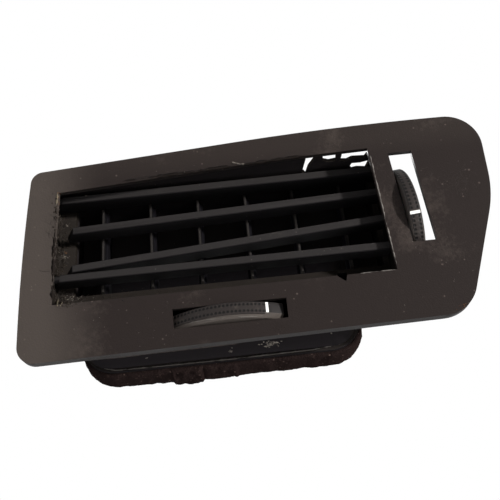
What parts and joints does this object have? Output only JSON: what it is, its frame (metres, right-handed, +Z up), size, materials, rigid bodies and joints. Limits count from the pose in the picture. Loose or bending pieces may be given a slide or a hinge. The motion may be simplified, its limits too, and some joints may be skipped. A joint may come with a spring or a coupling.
{
  "type": "dashboard air vent",
  "caption": "Used dashboard air vent: leaning bezel with a swept right end, level slats hanging crooked, upright vanes, two thumbwheels and a foam sealed duct collar.",
  "frame": {"origin": "middle of the line between the two fixing lugs, on their front faces", "axes": "+X to the viewer's right, +Y back along the duct, +Z up; the bezel face leans 13 degrees over the duct"},
  "size_m": [0.186, 0.0649, 0.0834],
  "materials": {
    "bezel_plastic": "grained, worn and dusty",
    "slat_plastic": "fine grain, dusty",
    "vane_plastic": "smooth, dusty front edges",
    "duct_plastic": "smooth, dirty inside",
    "link_plastic": "smooth",
    "wheel_plastic": "ribbed grip, greasy",
    "index_paint": "painted line",
    "foam": "open cell foam, torn below",
    "steel": "plain"
  },
  "bodies": {
    "frame": {"bezel": "bezel_plastic", "housing": "duct_plastic", "foam_seal": "foam", "bezel_screws": "steel", "slat_2": "slat_plastic", "slat_3": "slat_plastic", "lower_wheel_pin": "steel", "side_wheel_pin": "steel"},
    "lower_wheel": {"lower_wheel": "wheel_plastic", "lower_wheel_mark": "index_paint"},
    "side_wheel": {"side_wheel": "wheel_plastic", "side_wheel_mark": "index_paint"},
    "slat_1": {"slat_1": "slat_plastic"},
    "slat_4": {"slat_4": "slat_plastic"},
    "slat_link": {"slat_link": "link_plastic"},
    "vane_link": {"vane_link": "link_plastic"},
    "vane_1": {"vane_1": "vane_plastic"},
    "vane_2": {"vane_2": "vane_plastic"},
    "vane_3": {"vane_3": "vane_plastic"},
    "vane_4": {"vane_4": "vane_plastic"},
    "vane_5": {"vane_5": "vane_plastic"},
    "vane_6": {"vane_6": "vane_plastic"}
  },
  "joints": [
    {"name": "lower_wheel_turn", "type": "hinge", "parent": "frame", "child": "lower_wheel", "pos_m": [0.00145, 0.032, -0.02336], "axis": [0, 0, 1], "range_deg": [-15, 15]},
    {"name": "vane_1_swing", "type": "hinge", "parent": "frame", "child": "vane_1", "pos_m": [-0.04905, 0.008, 0.02], "axis": [0, 0, 1], "range_deg": [-30, 30]},
    {"name": "vane_2_swing", "type": "hinge", "parent": "frame", "child": "vane_2", "pos_m": [-0.02895, 0.008, 0.02], "axis": [0, 0, 1], "range_deg": [-30, 30]},
    {"name": "vane_3_swing", "type": "hinge", "parent": "frame", "child": "vane_3", "pos_m": [-0.00885, 0.008, 0.02], "axis": [0, 0, 1], "range_deg": [-30, 30]},
    {"name": "vane_4_swing", "type": "hinge", "parent": "frame", "child": "vane_4", "pos_m": [0.01125, 0.008, 0.02], "axis": [0, 0, 1], "range_deg": [-30, 30]},
    {"name": "vane_5_swing", "type": "hinge", "parent": "frame", "child": "vane_5", "pos_m": [0.03135, 0.008, 0.02], "axis": [0, 0, 1], "range_deg": [-30, 30]},
    {"name": "vane_6_swing", "type": "hinge", "parent": "frame", "child": "vane_6", "pos_m": [0.05145, 0.008, 0.02], "axis": [0, 0, 1], "range_deg": [-30, 30]},
    {"name": "vane_link_pivot", "type": "hinge", "parent": "vane_3", "child": "vane_link", "pos_m": [-0.00885, 0.016, 0.00075], "axis": [0, 0, 1], "range_deg": [-30, 30]},
    {"name": "side_wheel_turn", "type": "hinge", "parent": "frame", "child": "side_wheel", "pos_m": [0.07473, -0.00166, 0.0157], "axis": [0.9948, 0, 0.1016], "range_deg": [-5, 28]},
    {"name": "slat_1_swing", "type": "hinge", "parent": "frame", "child": "slat_1", "pos_m": [0, -0.0106, 0.0364], "axis": [1, 0, 0], "range_deg": [-28, 5]},
    {"name": "slat_4_swing", "type": "hinge", "parent": "frame", "child": "slat_4", "pos_m": [0, -0.0106, -0.0012], "axis": [1, 0, 0], "range_deg": [-28, 5]},
    {"name": "slat_link_pivot", "type": "hinge", "parent": "slat_1", "child": "slat_link", "pos_m": [0.07075, -0.0056, 0.0364], "axis": [1, 0, 0], "range_deg": [-5, 28]}
  ],
  "couplings": [
    {"joint": "vane_1_swing", "follows": "lower_wheel_turn", "ratio": -2},
    {"joint": "vane_2_swing", "follows": "lower_wheel_turn", "ratio": -2},
    {"joint": "vane_3_swing", "follows": "lower_wheel_turn", "ratio": -2},
    {"joint": "vane_4_swing", "follows": "lower_wheel_turn", "ratio": -2},
    {"joint": "vane_5_swing", "follows": "lower_wheel_turn", "ratio": -2},
    {"joint": "vane_6_swing", "follows": "lower_wheel_turn", "ratio": -2},
    {"joint": "vane_link_pivot", "follows": "lower_wheel_turn", "ratio": 2},
    {"joint": "slat_1_swing", "follows": "side_wheel_turn", "ratio": -1},
    {"joint": "slat_4_swing", "follows": "side_wheel_turn", "ratio": -1},
    {"joint": "slat_link_pivot", "follows": "side_wheel_turn", "ratio": 1}
  ]
}
